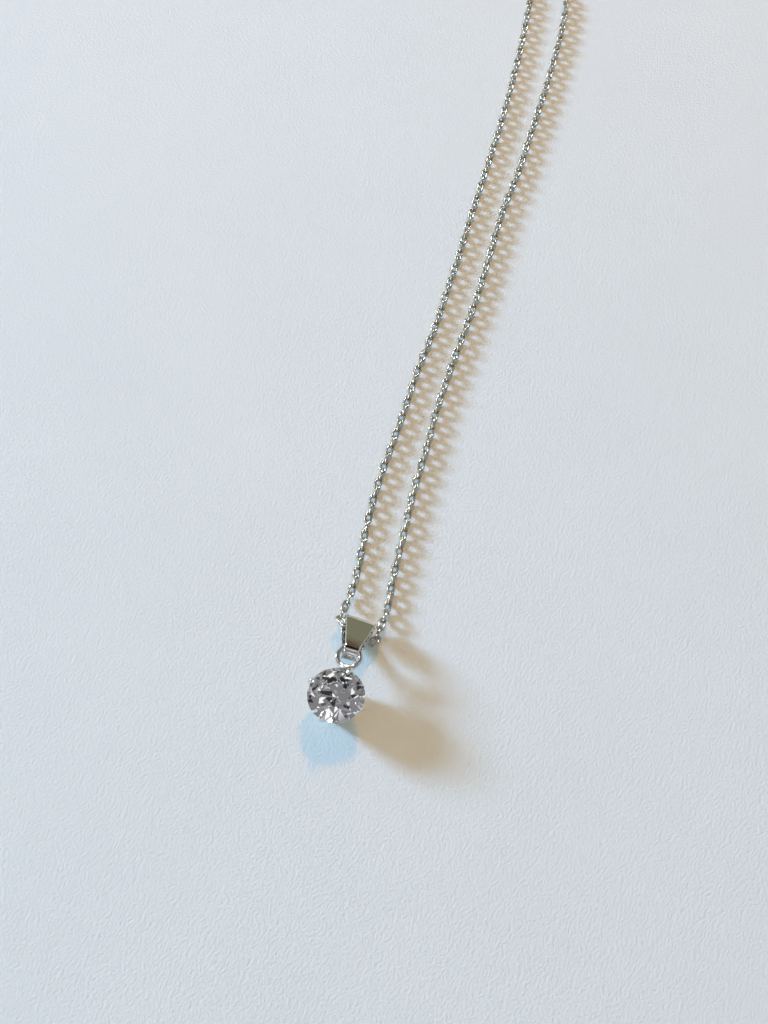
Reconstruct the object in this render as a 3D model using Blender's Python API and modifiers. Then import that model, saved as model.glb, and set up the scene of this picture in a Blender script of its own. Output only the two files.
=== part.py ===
"""Pendant necklace: a round stone in a four-prong basket head, a tapered bail and a trace chain.

Run with: blender --background --python part.py
Units are metres and +Z is up. The necklace lies on z = 0. The pendant lies along Y with its
stone facing up, and the two strands of the chain run away from it along +Y to a long wound hank
and the spring ring clasp.
"""
import math

import bmesh
import bpy
from mathutils import Matrix, Vector, geometry

MM = 0.001
GAP = 0.03 * MM  # between neighbours that touch on the real necklace

# Round brilliant stone
STONE_RADIUS = 3.0 * MM
GIRDLE_Z = 3.1 * MM
GIRDLE_HEIGHT = 0.15 * MM
TABLE_RATIO = 0.57
CROWN_ANGLE = math.radians(34.5)
PAVILION_ANGLE = math.radians(40.75)
STAR_ANGLE = math.radians(21)
UPPER_HALF_ANGLE = math.radians(40.5)
LOWER_HALF_ANGLE = math.radians(42.2)
CULET_CUT = 0.03 * MM  # taken off the stone's point
GIRDLE_SIDES = 64

# Head: prongs, gallery rings and the loop that the bail holds
HEAD_CENTRE = Vector((0.0, -3.17, 0.0)) * MM
HEAD_TWIST = math.radians(-13)
PRONG_RADIUS = 0.36 * MM
PRONG_ROUTE = (  # distance from the stone's axis and height, from foot to tip, in millimetres
    (1.49, 0.04), (1.5, 0.3), (1.75, 0.85), (2.25, 1.74), (2.84, 2.8),
    (3.0, 3.25), (2.95, 3.6), (2.7, 3.84), (2.42, 3.95),
)
PRONG_STEP = 0.32 * MM
PRONG_TAPER_FROM = 0.64  # share of the prong's length that is full size
PRONG_TIP = 0.45  # radius at the tip as a share of the prong's
BASE_RING = (1.0 * MM, 1.72 * MM, 0.0, 0.72 * MM)  # inner and outer radius, low and high z
GALLERY_RING = (1.34 * MM, 2.0 * MM, 1.08 * MM, 1.5 * MM)
RING_BEVEL = 0.1 * MM
LOOP_RADIUS = 1.23 * MM
LOOP_WIRE = 0.27 * MM
LOOP_CENTRE = HEAD_CENTRE + Vector((0.0, 4.64, 2.6)) * MM  # on the head's axis of symmetry

# Bail: a tapered strap round the chain and the loop
BAIL_WALL = 0.3 * MM
BAIL_TOP_BEND = 1.0 * MM  # inner radius round the chain
BAIL_LOW_BEND = 0.7 * MM  # inner radius round the loop
BAIL_SIDE = (  # distance along it from the top bend's centre and half width, in millimetres
    (1.4, 1.66), (-2.0, 1.02), (-2.7, 0.68), (-3.7, 0.56),
)
BAIL_BLANK = 2.0 * MM  # half width of the strap before it is tapered
BAIL_ROLL = math.radians(10)
BAIL_TOP_CENTRE = HEAD_CENTRE + Vector((0.0, 8.17, 1.62)) * MM
BAIL_LOW_CENTRE = LOOP_CENTRE + Vector((0.0, LOOP_RADIUS, 0.0))

# Chain: its envelope here is a plain round cord
CHAIN_RADIUS = 0.475 * MM
CHAIN_Z = 0.5 * MM
BEND_ROUTE = (  # from the left strand, through the bail, to the right strand, in millimetres
    (-2.25, 8.6, 0.72), (-2.32, 7.2, 1.15), (-2.3, 6.1, 1.58), (-2.05, 5.45, 1.76),
    (-1.4, 5.2, 1.82), (0.0, 5.0, 1.62), (1.2, 4.68, 1.4), (1.8, 4.55, 1.26),
    (2.3, 4.9, 1.16), (2.42, 5.7, 1.0), (2.3, 7.1, 0.74), (2.1, 8.6, 0.52),
)
LEFT_ROUTE = (  # a point with no height lies at CHAIN_Z
    (-2.26, 8.75, 0.7), (-2.35, 12.4), (-2.9, 17.4), (-3.2, 22.6), (-3.15, 28.2), (-3.0, 34.0),
    (-3.0, 40.0), (-2.65, 46.0), (-2.6, 52.5), (-2.6, 59.0), (-2.7, 65.6), (-2.7, 72.6),
    (-2.75, 79.9), (-3.0, 87.4), (-3.4, 95.2), (-4.1, 103.1), (-4.7, 109.3), (-4.93, 113.4),
)
RIGHT_ROUTE = (
    (2.09, 8.7, 0.52), (1.6, 13.5), (1.3, 18.6), (0.95, 23.8), (0.9, 29.4), (0.65, 35.0),
    (0.75, 41.0), (1.0, 47.1), (1.2, 53.5), (1.1, 60.0), (1.05, 66.7), (1.45, 73.9),
    (1.5, 81.2), (1.6, 88.7), (1.45, 96.6), (1.0, 104.2), (0.3, 107.3), (-1.4, 109.9), (-3.15, 112.0),
)
HANK_TOP = Vector((-0.1, 129.0, 0.98)) * MM  # centre of the long winding's far bend
HANK_LENGTH = 11.8 * MM  # between the centres of its two bends
HANK_RADII = (5.4 * MM, 1.15 * MM)  # outside and inside
HANK_HALF_THICKNESS = 0.97 * MM
LEFT_TAIL_ROUTE = ((-4.1, 133.7, 0.95), (-3.75, 134.35, 0.7), (-3.3, 135.2), (-2.7, 136.7))
RIGHT_TAIL_ROUTE = ((-1.9, 134.85, 1.0), (-0.6, 135.7, 0.6), (1.0, 136.6), (2.5, 137.9))
BEND_STEP = 0.45 * MM
STRAND_STEP = 3.0 * MM
TAIL_STEP = 1.0 * MM
CURVE_SAMPLES = 40  # points between two knots while a route is measured

# Chain ends: jump ring, spring ring clasp and end ring
JUMP_RADIUS = 0.8 * MM
JUMP_WIRE = 0.17 * MM
JUMP_CENTRE = Vector((-2.6, 137.85, 0.98)) * MM
EYE_RADIUS = 0.7 * MM
EYE_WIRE = 0.18 * MM
EYE_CENTRE = JUMP_CENTRE + Vector((0.0, 0.8, -0.42)) * MM
CLASP_RADIUS = 2.2 * MM
CLASP_TUBE = 0.55 * MM
CLASP_BORE = 0.41 * MM
CLASP_CENTRE = EYE_CENTRE + Vector((0.0, EYE_RADIUS + EYE_WIRE + GAP + CLASP_TUBE + CLASP_RADIUS, 0.0))
GATE_START, GATE_END = 18, 58  # the opening of the clasp, degrees about its centre
BORE_END = -150
BOLT_RADIUS = 0.34 * MM
BOLT_ARC = (-48, 64)
BOLT_TRAVEL = 42
KNOB_ANGLE = 8
KNOB_RADIUS = 0.34 * MM
KNOB_STEM = 0.15 * MM
KNOB_BALL = (150, 6)  # the arc of the ball that shows, degrees from its outer pole
SLOT_SPARE = 6  # degrees that the knob's slot runs past the knob's travel
SPRING_ARC = (-94, -148)
SPRING_RADIUS = 0.27 * MM
SPRING_WIRE = 0.05 * MM
SPRING_TURNS = 9
END_RING_RADIUS = 1.15 * MM
END_RING_WIRE = 0.25 * MM
END_RING_CENTRE = Vector((3.51, 138.98, 0.26)) * MM
END_LINK = Vector((2.726, 138.139, 0.26)) * MM  # where the chain's last link holds the end ring

SMOOTH_ANGLE = math.radians(35)

PARTS = "pendant_necklace"
CUTTERS = "cutters"


def clear_scene():
    for old in list(bpy.data.objects):
        bpy.data.objects.remove(old, do_unlink=True)


def collection(name):
    if name not in bpy.data.collections:
        made = bpy.data.collections.new(name)
        bpy.context.scene.collection.children.link(made)
    return bpy.data.collections[name]


def material(name, colour, roughness, metallic):
    made = bpy.data.materials.new(name)
    made.use_nodes = True
    shader = made.node_tree.nodes["Principled BSDF"]
    shader.inputs["Base Color"].default_value = (*colour, 1.0)
    shader.inputs["Roughness"].default_value = roughness
    shader.inputs["Metallic"].default_value = metallic
    made.diffuse_color = (*colour, 1.0)
    return made


def add_part(name, mesh, look, place=None, faceted=False):
    """Link a mesh as one named sub-part at its place."""
    part = bpy.data.objects.new(name, mesh)
    part.matrix_world = place or Matrix.Identity(4)
    collection(PARTS).objects.link(part)
    mesh.materials.clear()
    mesh.materials.append(look)
    if not faceted:
        mesh.shade_smooth()
        mesh.set_sharp_from_angle(angle=SMOOTH_ANGLE)
    return part


def pivot(name, point, parent=None):
    """An empty on a joint's axis."""
    empty = bpy.data.objects.new(name, None)
    empty.empty_display_size = 2 * MM
    collection(PARTS).objects.link(empty)
    empty.matrix_world = Matrix.Translation(point)
    if parent:
        hang(parent, empty)
    return empty


def hang(parent, *children):
    """Parent what is already in place, so that it turns with the parent."""
    bpy.context.view_layer.update()
    for child in children:
        child.parent = parent
        child.matrix_parent_inverse = parent.matrix_world.inverted()


def add_cutter(name, mesh, place=None):
    cutter = bpy.data.objects.new(name, mesh)
    cutter.matrix_world = place or Matrix.Identity(4)
    cutter.hide_render = True
    cutter.display_type = "WIRE"
    collection(CUTTERS).objects.link(cutter)
    return cutter


def cut(part, cutter, operation="DIFFERENCE"):
    boolean = part.modifiers.new(cutter.name, "BOOLEAN")
    boolean.operation = operation
    boolean.solver = "EXACT"
    boolean.object = cutter


def mesh_of_curve(name, curve):
    """Evaluate a curve and weld its caps."""
    guide = bpy.data.objects.new(name + "_curve", curve)
    collection(CUTTERS).objects.link(guide)
    bpy.context.view_layer.update()
    evaluated = guide.evaluated_get(bpy.context.evaluated_depsgraph_get())
    mesh = bpy.data.meshes.new_from_object(evaluated)
    mesh.name = name
    bpy.data.objects.remove(guide, do_unlink=True)
    welded = bmesh.new()
    welded.from_mesh(mesh)
    bmesh.ops.remove_doubles(welded, verts=welded.verts, dist=0.0005 * MM)
    welded.to_mesh(mesh)
    welded.free()
    return mesh


def rod(name, points, radius, swell=None, sides_level=2, closed=False):
    """A round wire through the points, as a welded mesh."""
    curve = bpy.data.curves.new(name, "CURVE")
    curve.dimensions = "3D"
    curve.bevel_depth = radius
    curve.bevel_resolution = sides_level
    curve.use_fill_caps = not closed
    curve.twist_mode = "MINIMUM"
    spline = curve.splines.new("POLY")
    spline.points.add(len(points) - 1)
    spline.use_cyclic_u = closed
    for index, point in enumerate(points):
        spline.points[index].co = (*point, 1.0)
        spline.points[index].radius = swell[index] if swell else 1.0
    return mesh_of_curve(name, curve)


def smooth_curve(route, step):
    """Points every step along a smooth curve through the route, which is given in millimetres."""
    knots = [Vector((x, y, *z, CHAIN_Z / MM)[:3]) * MM for x, y, *z in route]
    ends = [2 * knots[0] - knots[1]] + knots + [2 * knots[-1] - knots[-2]]
    fine = []
    for before, start, end, after in zip(ends, ends[1:], ends[2:], ends[3:]):
        reach = (end - start).length / 3
        leave = start + (end - before).normalized() * reach
        arrive = end - (after - start).normalized() * reach
        fine += geometry.interpolate_bezier(start, leave, arrive, end, CURVE_SAMPLES)[:-1]
    fine.append(knots[-1])
    travelled = [0.0]
    for first, second in zip(fine, fine[1:]):
        travelled.append(travelled[-1] + (second - first).length)
    count = max(2, round(travelled[-1] / step))
    points = []
    index = 0
    for number in range(count + 1):
        target = travelled[-1] * number / count
        while index < len(fine) - 2 and travelled[index + 1] < target:
            index += 1
        share = (target - travelled[index]) / (travelled[index + 1] - travelled[index])
        points.append(fine[index].lerp(fine[index + 1], min(1.0, share)))
    return points


def arc(radius, start, end, count):
    """Points on a flat arc about the origin, angles in degrees."""
    points = []
    for number in range(count + 1):
        angle = math.radians(start + (end - start) * number / count)
        points.append(Vector((math.cos(angle), math.sin(angle), 0.0)) * radius)
    return points


def torus(name, radius, wire, steps=40, sides=12):
    """A closed ring of round wire in the XY plane about the origin."""
    bpy.ops.mesh.primitive_torus_add(
        major_radius=radius, minor_radius=wire, major_segments=steps, minor_segments=sides,
    )
    ring = bpy.context.object
    mesh = ring.data
    mesh.name = name
    bpy.data.objects.remove(ring, do_unlink=True)
    return mesh


def turned_ring(name, inner, outer, low, high, look, centre, bevel=0.0, steps=48):
    """A ring with a rectangular section, turned about Z."""
    section = bmesh.new()
    corners = ((outer, high), (outer, low), (inner, low), (inner, high))
    verts = [section.verts.new((x, 0.0, z)) for x, z in corners]
    for first, second in zip(verts, verts[1:] + verts[:1]):
        section.edges.new((first, second))
    mesh = bpy.data.meshes.new(name)
    section.to_mesh(mesh)
    section.free()
    part = add_part(name, mesh, look, Matrix.Translation(centre))
    screw = part.modifiers.new("turn", "SCREW")
    screw.steps = steps
    screw.render_steps = steps
    screw.use_merge_vertices = True
    screw.merge_threshold = 0.001 * MM
    if bevel:
        soft = part.modifiers.new("soft_edges", "BEVEL")
        soft.width = bevel
        soft.segments = 2
        soft.limit_method = "ANGLE"
        soft.angle_limit = math.radians(50)
    return part


def slice_off(solid, point, normal):
    """Cut away what lies beyond a plane and close the cut with one flat facet."""
    geometry_all = solid.verts[:] + solid.edges[:] + solid.faces[:]
    result = bmesh.ops.bisect_plane(
        solid, geom=geometry_all, dist=0.0001 * MM, plane_co=point, plane_no=normal, clear_outer=True
    )
    rim = [item for item in result["geom_cut"] if isinstance(item, bmesh.types.BMEdge)]
    if rim:
        bmesh.ops.holes_fill(solid, edges=rim, sides=0)


def brilliant(name, grow=0.0):
    """A round brilliant about the Z axis, each facet cut from a cylinder by its own plane."""
    radius = STONE_RADIUS + grow
    crown_low = GIRDLE_Z + GIRDLE_HEIGHT / 2 + grow
    pavilion_top = GIRDLE_Z - GIRDLE_HEIGHT / 2 - grow
    crown_height = (1 - TABLE_RATIO) * STONE_RADIUS * math.tan(CROWN_ANGLE)
    depth = STONE_RADIUS * math.tan(PAVILION_ANGLE)
    solid = bmesh.new()
    bmesh.ops.create_cone(
        solid, cap_ends=True, segments=GIRDLE_SIDES, radius1=radius, radius2=radius, depth=4 * STONE_RADIUS,
        matrix=Matrix.Translation((0, 0, GIRDLE_Z)),
    )

    def facet(turn, angle, reach, height):
        """A plane through (reach, height) at this turn about Z, tilted by angle from flat."""
        up = 1.0 if angle > 0 else -1.0
        outward = Vector((math.cos(turn), math.sin(turn), 0.0))
        normal = outward * math.sin(abs(angle)) + Vector((0, 0, up * math.cos(angle)))
        slice_off(solid, outward * reach + Vector((0, 0, height)), normal)

    eighth = math.tau / 8
    for number in range(8):
        facet(number * eighth, CROWN_ANGLE, radius, crown_low)
        facet(number * eighth, -PAVILION_ANGLE, radius, pavilion_top)
    slice_off(solid, Vector((0, 0, crown_low + crown_height)), Vector((0, 0, 1)))
    if not grow:
        star_reach = TABLE_RATIO * radius * math.cos(eighth / 2)
        for number in range(8):
            facet((number + 0.5) * eighth, STAR_ANGLE, star_reach, crown_low + crown_height)
            for side in (0.25, 0.75):
                facet((number + side) * eighth, UPPER_HALF_ANGLE, radius, crown_low)
                facet((number + side) * eighth, -LOWER_HALF_ANGLE, radius, pavilion_top)
    slice_off(solid, Vector((0, 0, pavilion_top - depth + CULET_CUT - grow)), Vector((0, 0, -1)))
    bmesh.ops.recalc_face_normals(solid, faces=solid.faces)
    mesh = bpy.data.meshes.new(name)
    solid.to_mesh(mesh)
    solid.free()
    return mesh


def build_prong(side, turn, place, silver, seat, rings):
    """One claw, notched for the stone, and the notches that it needs in the two rings."""
    place = place @ Matrix.Rotation(turn, 4, "Z")
    route = smooth_curve([(reach, 0.0, height) for reach, height in PRONG_ROUTE], PRONG_STEP)
    swell = []
    for index in range(len(route)):
        beyond = max(0.0, index / (len(route) - 1) - PRONG_TAPER_FROM) / (1.0 - PRONG_TAPER_FROM)
        swell.append(1.0 - (1.0 - PRONG_TIP) * beyond**2)
    prong = add_part("prong_" + side, rod("prong", route, PRONG_RADIUS, swell), silver, place)
    cut(prong, seat)
    route.insert(0, 2 * route[0] - route[1])
    swell.insert(0, 1.0)
    notch = add_cutter("notch_" + side, rod("notch", route, PRONG_RADIUS + GAP, swell), place)
    for ring in rings:
        cut(ring, notch)
    return prong


def build_head(silver, crystal):
    """The stone, the four prongs notched for it, the two gallery rings and the soldered loop."""
    place = Matrix.Translation(HEAD_CENTRE) @ Matrix.Rotation(HEAD_TWIST, 4, "Z")
    stone = add_part("stone", brilliant("stone"), crystal, place, faceted=True)
    seat = add_cutter("stone_seat", brilliant("stone_seat", GAP), place)
    base = turned_ring("base_ring", *BASE_RING, silver, HEAD_CENTRE, bevel=RING_BEVEL)
    gallery = turned_ring("gallery_ring", *GALLERY_RING, silver, HEAD_CENTRE, bevel=RING_BEVEL)
    loop_mesh = torus("head_loop", LOOP_RADIUS, LOOP_WIRE)
    loop = add_part("head_loop", loop_mesh, silver, Matrix.Translation(LOOP_CENTRE))
    pieces = [stone, base, gallery, loop]
    for number, side in enumerate(("east", "north", "west", "south")):
        pieces.append(build_prong(side, number * math.tau / 4, place, silver, seat, (base, gallery)))
    return pieces


def closed_line(curve, outline):
    """Add a closed flat line to a curve."""
    spline = curve.splines.new("POLY")
    spline.points.add(len(outline) - 1)
    spline.use_cyclic_u = True
    for point, (x, y) in zip(spline.points, outline):
        point.co = (x, y, 0.0, 1.0)


def flat_plate(name, outlines, half_thickness):
    """A flat plate in the XY plane, filled between its outlines."""
    curve = bpy.data.curves.new(name, "CURVE")
    curve.dimensions = "2D"
    curve.fill_mode = "BOTH"
    curve.extrude = half_thickness
    for outline in outlines:
        closed_line(curve, outline)
    return mesh_of_curve(name, curve)


def teardrop(top, low, length, points=18):
    """The outline round a top bend at the origin and a low bend at -length."""
    lean = math.asin((top - low) / length)
    outline = []
    for number in range(points + 1):
        angle = -math.pi / 2 - lean + (math.pi + 2 * lean) * number / points
        outline.append((top * math.cos(angle), top * math.sin(angle)))
    for number in range(points + 1):
        angle = math.pi / 2 + lean + (math.pi - 2 * lean) * number / points
        outline.append((-length + low * math.cos(angle), low * math.sin(angle)))
    return outline


def frame_matrix(origin, first, second, third):
    """A placement whose X, Y and Z axes are the three given directions."""
    turn = Matrix((first, second, third)).transposed().to_4x4()
    return Matrix.Translation(origin) @ turn


def build_bail(silver):
    """The strap, bent round the chain and the loop, then tapered from the front."""
    along = (BAIL_TOP_CENTRE - BAIL_LOW_CENTRE).normalized()
    length = (BAIL_TOP_CENTRE - BAIL_LOW_CENTRE).length
    roll = Matrix.Rotation(BAIL_ROLL, 3, along)
    across = roll @ Vector((1, 0, 0))
    up = roll @ Vector((1, 0, 0)).cross(along)
    outside = teardrop(BAIL_TOP_BEND + BAIL_WALL, BAIL_LOW_BEND + BAIL_WALL, length)
    inside = teardrop(BAIL_TOP_BEND, BAIL_LOW_BEND, length)
    strap = flat_plate("bail", (outside, inside), BAIL_BLANK)
    bail = add_part("bail", strap, silver, frame_matrix(BAIL_TOP_CENTRE, along, up, across))
    front = [(half * MM, y * MM) for y, half in BAIL_SIDE]
    front += [(-x, y) for x, y in reversed(front)]
    taper = flat_plate("bail_taper", (front,), 1.5 * BAIL_BLANK)
    cutter = add_cutter("bail_taper", taper, frame_matrix(BAIL_TOP_CENTRE, across, along, up))
    cut(bail, cutter, "INTERSECT")
    return bail


def build_chain(silver):
    """Plain envelopes of the chain: through the bail, two strands, the wound hank and two tails."""
    for name, route, step in (
        ("chain_bend", BEND_ROUTE, BEND_STEP),
        ("chain_left", LEFT_ROUTE, STRAND_STEP),
        ("chain_right", RIGHT_ROUTE, STRAND_STEP),
        ("chain_left_tail", LEFT_TAIL_ROUTE, TAIL_STEP),
        ("chain_right_tail", RIGHT_TAIL_ROUTE, TAIL_STEP),
    ):
        add_part(name, rod(name, smooth_curve(route, step), CHAIN_RADIUS), silver)
    outlines = [teardrop(radius, radius, HANK_LENGTH) for radius in HANK_RADII]
    lengthwise = frame_matrix(HANK_TOP, Vector((0, 1, 0)), Vector((-1, 0, 0)), Vector((0, 0, 1)))
    add_part("chain_coil", flat_plate("chain_coil", outlines, HANK_HALF_THICKNESS), silver, lengthwise)


def curved_rod(name, radius, start, end, level, ring=CLASP_RADIUS):
    """A round rod bent to part of a ring in the XY plane, angles in degrees."""
    count = max(3, round(abs(end - start) / 8))
    return rod(name, arc(ring, start, end, count), radius, sides_level=level)


def build_clasp_body(silver, place):
    """The tube of the clasp, bored for the bolt and slotted for its knob."""
    tube = curved_rod("clasp_body", CLASP_TUBE, GATE_END, 360 + GATE_START, 3)
    body = add_part("clasp_body", tube, silver, place)
    bore = curved_rod("bore", CLASP_BORE, BORE_END, GATE_START + 6, 2)
    socket = curved_rod("socket", CLASP_BORE, GATE_END - 6, GATE_END + 12, 2)
    slot_start, slot_end = KNOB_ANGLE - BOLT_TRAVEL - SLOT_SPARE, KNOB_ANGLE + SLOT_SPARE
    slot_reach = CLASP_RADIUS + (CLASP_BORE + CLASP_TUBE) / 2
    slot = curved_rod("slot", KNOB_STEM + 3 * GAP, slot_start, slot_end, 2, slot_reach)
    for mesh in (bore, socket, slot):
        cut(body, add_cutter("clasp_" + mesh.name, mesh, place))
    return body


def build_knob(silver, place):
    """The little ball on a stem that a fingernail pulls."""
    outward = Matrix.Rotation(math.radians(KNOB_ANGLE), 3, "Z") @ Vector((1, 0, 0))
    ball_centre = CLASP_RADIUS + CLASP_TUBE + KNOB_RADIUS + GAP
    stations = [outward * (CLASP_RADIUS + BOLT_RADIUS + GAP)]
    radii = [KNOB_STEM]
    for point in arc(KNOB_RADIUS, *KNOB_BALL, 8):
        stations.append(outward * (ball_centre + point.x))
        radii.append(point.y)
    return add_part("clasp_knob", rod("clasp_knob", stations, 1.0, radii, 3), silver, place)


def build_spring(steel, place):
    """The coil spring in the closed end of the tube, at its compressed length."""
    sides = 8  # points in one turn
    count = SPRING_TURNS * sides
    helix = []
    for number, point in enumerate(arc(CLASP_RADIUS, *SPRING_ARC, count)):
        phase = math.tau * number / sides
        helix.append(point * (1 + SPRING_RADIUS * math.cos(phase) / CLASP_RADIUS))
        helix[-1].z = SPRING_RADIUS * math.sin(phase)
    return add_part("clasp_spring", rod("clasp_spring", helix, SPRING_WIRE, sides_level=0), steel, place)


def build_ends(silver, steel):
    """The jump ring, the spring ring clasp with its bolt, knob, spring and eye, and the end ring."""
    upright = Matrix.Translation(JUMP_CENTRE) @ Matrix.Rotation(math.pi / 2, 4, "Y")
    jump_mesh = torus("jump_ring", JUMP_RADIUS, JUMP_WIRE, steps=32, sides=8)
    jump_ring = add_part("jump_ring", jump_mesh, silver, upright)
    jump_pivot = pivot("jump_ring_pivot", JUMP_CENTRE - Vector((0, JUMP_RADIUS, 0)))
    hang(jump_pivot, jump_ring)
    eye_mesh = torus("clasp_eye", EYE_RADIUS, EYE_WIRE, steps=32, sides=8)
    eye = add_part("clasp_eye", eye_mesh, silver, Matrix.Translation(EYE_CENTRE))
    place = Matrix.Translation(CLASP_CENTRE)
    clasp_pivot = pivot("clasp_pivot", EYE_CENTRE - Vector((0, EYE_RADIUS, 0)), jump_pivot)
    hang(clasp_pivot, eye, build_clasp_body(silver, place), build_spring(steel, place))
    bolt_pivot = pivot("clasp_bolt_pivot", CLASP_CENTRE, clasp_pivot)
    bolt_mesh = curved_rod("clasp_bolt", BOLT_RADIUS, *BOLT_ARC, 2)
    hang(bolt_pivot, add_part("clasp_bolt", bolt_mesh, silver, place), build_knob(silver, place))
    ring_mesh = torus("end_ring", END_RING_RADIUS, END_RING_WIRE, steps=36, sides=8)
    end_ring = add_part("end_ring", ring_mesh, silver, Matrix.Translation(END_RING_CENTRE))
    hang(pivot("end_ring_pivot", END_LINK), end_ring)


def main():
    clear_scene()
    silver = material("rhodium_silver", (0.86, 0.85, 0.83), 0.12, 1.0)
    steel = material("spring_steel", (0.6, 0.6, 0.6), 0.3, 1.0)
    crystal = material("clear_stone", (0.95, 0.96, 0.98), 0.02, 0.0)
    bail_pivot = pivot("bail_pivot", BAIL_TOP_CENTRE)
    hang(bail_pivot, build_bail(silver))
    hang(pivot("head_pivot", BAIL_LOW_CENTRE, bail_pivot), *build_head(silver, crystal))
    build_chain(silver)
    build_ends(silver, steel)


main()
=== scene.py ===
# %% [markdown]
# # A stone pendant on a fine chain
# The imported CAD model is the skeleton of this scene: it says where every part is and how it moves.
# This notebook dresses it. Every CAD solid gets a finely modelled piece in its place, the plain tubes
# that stand for the chain become single wire links, and each metal and the stone get a finish of their
# own. All sizes are in millimetres where they are named, and MM turns them into metres.

import math

import bmesh
import bpy
import numpy as np
from mathutils import Matrix, Vector, geometry


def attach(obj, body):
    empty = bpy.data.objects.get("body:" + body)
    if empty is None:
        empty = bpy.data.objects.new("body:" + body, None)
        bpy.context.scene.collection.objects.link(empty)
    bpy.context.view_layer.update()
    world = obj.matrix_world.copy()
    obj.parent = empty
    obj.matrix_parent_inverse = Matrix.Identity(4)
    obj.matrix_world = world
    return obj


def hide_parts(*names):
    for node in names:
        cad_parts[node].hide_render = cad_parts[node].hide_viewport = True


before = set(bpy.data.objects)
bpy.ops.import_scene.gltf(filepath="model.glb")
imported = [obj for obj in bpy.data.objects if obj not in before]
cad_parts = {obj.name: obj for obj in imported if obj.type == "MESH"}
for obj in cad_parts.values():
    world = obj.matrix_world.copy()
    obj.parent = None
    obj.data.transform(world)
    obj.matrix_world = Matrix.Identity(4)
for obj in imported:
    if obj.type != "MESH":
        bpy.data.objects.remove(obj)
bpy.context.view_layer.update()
MM = 0.001

# %% [markdown]
# ## The camera
# The necklace lies on a table and is seen from above and a little from the stone's side, the way a
# seller looks down on it. The camera is made first, because the chain runs out of its view and has to
# be stored just past the edge.

# %% Camera
CAMERA_PLACE = Vector((18.10, -48.29, 134.47)) * MM
CAMERA_LOOK = Vector((-0.1294, 0.4513, -0.8830))
CAMERA_RIGHT = Vector((0.9613, 0.2756, 0.0))
LENS_MM = 47.1
FILM_HEIGHT_MM = 36.0

lens = bpy.data.cameras.new("camera")
lens.sensor_fit = "VERTICAL"
lens.sensor_height = FILM_HEIGHT_MM
lens.lens = LENS_MM
lens.clip_start = 1 * MM
lens.clip_end = 20.0
camera = bpy.data.objects.new("camera", lens)
look = CAMERA_LOOK.normalized()
across = (CAMERA_RIGHT - look * CAMERA_RIGHT.dot(look)).normalized()
camera.matrix_world = Matrix.Translation(CAMERA_PLACE) @ Matrix(
    (across, across.cross(look), -look)
).transposed().to_4x4()
bpy.context.scene.collection.objects.link(camera)
bpy.context.scene.camera = camera
print("camera looks down at", round(math.degrees(math.asin(-look.z)), 1), "degrees")

# %% [markdown]
# ## Shader maths
# A finish is a small network of nodes. Written as plain expressions it is much easier to read, so one
# class wraps a socket and turns + - * / into Math nodes, and one method adds any other node.


# %% Sockets that can be added and multiplied
class Value:
    """The output socket of a node, used like a number."""

    def __init__(self, net, socket):
        self.net = net
        self.socket = socket

    def combine(self, operation, first, second):
        sockets = {0: first, 1: second}
        return self.net.add("Math", {"operation": operation}, sockets)

    def __add__(self, other):
        return self.combine("ADD", self, other)

    def __radd__(self, other):
        return self.combine("ADD", other, self)

    def __sub__(self, other):
        return self.combine("SUBTRACT", self, other)

    def __rsub__(self, other):
        return self.combine("SUBTRACT", other, self)

    def __mul__(self, other):
        return self.combine("MULTIPLY", self, other)

    def __rmul__(self, other):
        return self.combine("MULTIPLY", other, self)


class Net:
    """The node network of one material or of the world."""

    def __init__(self, owner):
        owner.use_nodes = True
        self.tree = owner.node_tree
        self.tree.nodes.clear()

    def add(self, kind, settings=None, sockets=None, output=0):
        """A node of any type: its settings first, then what its sockets hold or are linked to."""
        node = self.tree.nodes.new("ShaderNode" + kind)
        for name, setting in (settings or {}).items():
            if name == "stops":
                self.set_stops(node.color_ramp, setting)
            else:
                setattr(node, name, setting)
        for name, content in (sockets or {}).items():
            if isinstance(content, Value):
                self.tree.links.new(content.socket, node.inputs[name])
            else:
                node.inputs[name].default_value = content
        return Value(self, node.outputs[output]) if node.outputs else None

    def set_stops(self, ramp, stops):
        while len(ramp.elements) < len(stops):
            ramp.elements.new(0.5)
        for element, (place, shade) in zip(ramp.elements, stops):
            element.position = place
            element.color = (shade, shade, shade, 1.0)

    def ramp(self, value, *stops):
        """A grey value read off a curve with these (place, shade) stops."""
        return self.add("ValToRGB", {"stops": stops}, {"Fac": value})

    def noise(self, place, scale, detail=2.0, roughness=0.5):
        sockets = {"Vector": place, "Scale": scale, "Detail": detail, "Roughness": roughness}
        return self.add("TexNoise", None, sockets)

    def stretched(self, place, turn, scale):
        """The place, turned and then squeezed, so that a noise read there becomes streaks."""
        return self.add("Mapping", None, {"Vector": place, "Rotation": turn, "Scale": scale})

    def mix(self, factor, first, second):
        """A blend of two colours."""
        sockets = {0: factor, 6: first, 7: second}
        return self.add("Mix", {"data_type": "RGBA"}, sockets, 2)

    def bump(self, height, distance):
        return self.add("Bump", None, {"Height": height, "Strength": 1.0, "Distance": distance})

    def finish(self, **sockets):
        """The surface shader. Underscores in the names stand for spaces."""
        named = {name.replace("_", " "): content for name, content in sockets.items()}
        shader = self.add("BsdfPrincipled", None, named)
        self.add("OutputMaterial", None, {"Surface": shader})


def new_finish(name):
    material = bpy.data.materials.new(name)
    return material, Net(material)


print("shader helpers ready")

# %% [markdown]
# ## Rhodium plated silver
# The pendant and the clasp are cast or drawn silver with a thin rhodium plating, polished on a wheel.
# Up close a polished part still shows hairlines from the wheel, a soft haze where fingers touch it,
# and slightly yellow, rougher metal where a joint was soldered. The hairlines are noise squeezed
# along one direction. The solder comes from an attribute that is painted when a joint is made.

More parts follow.
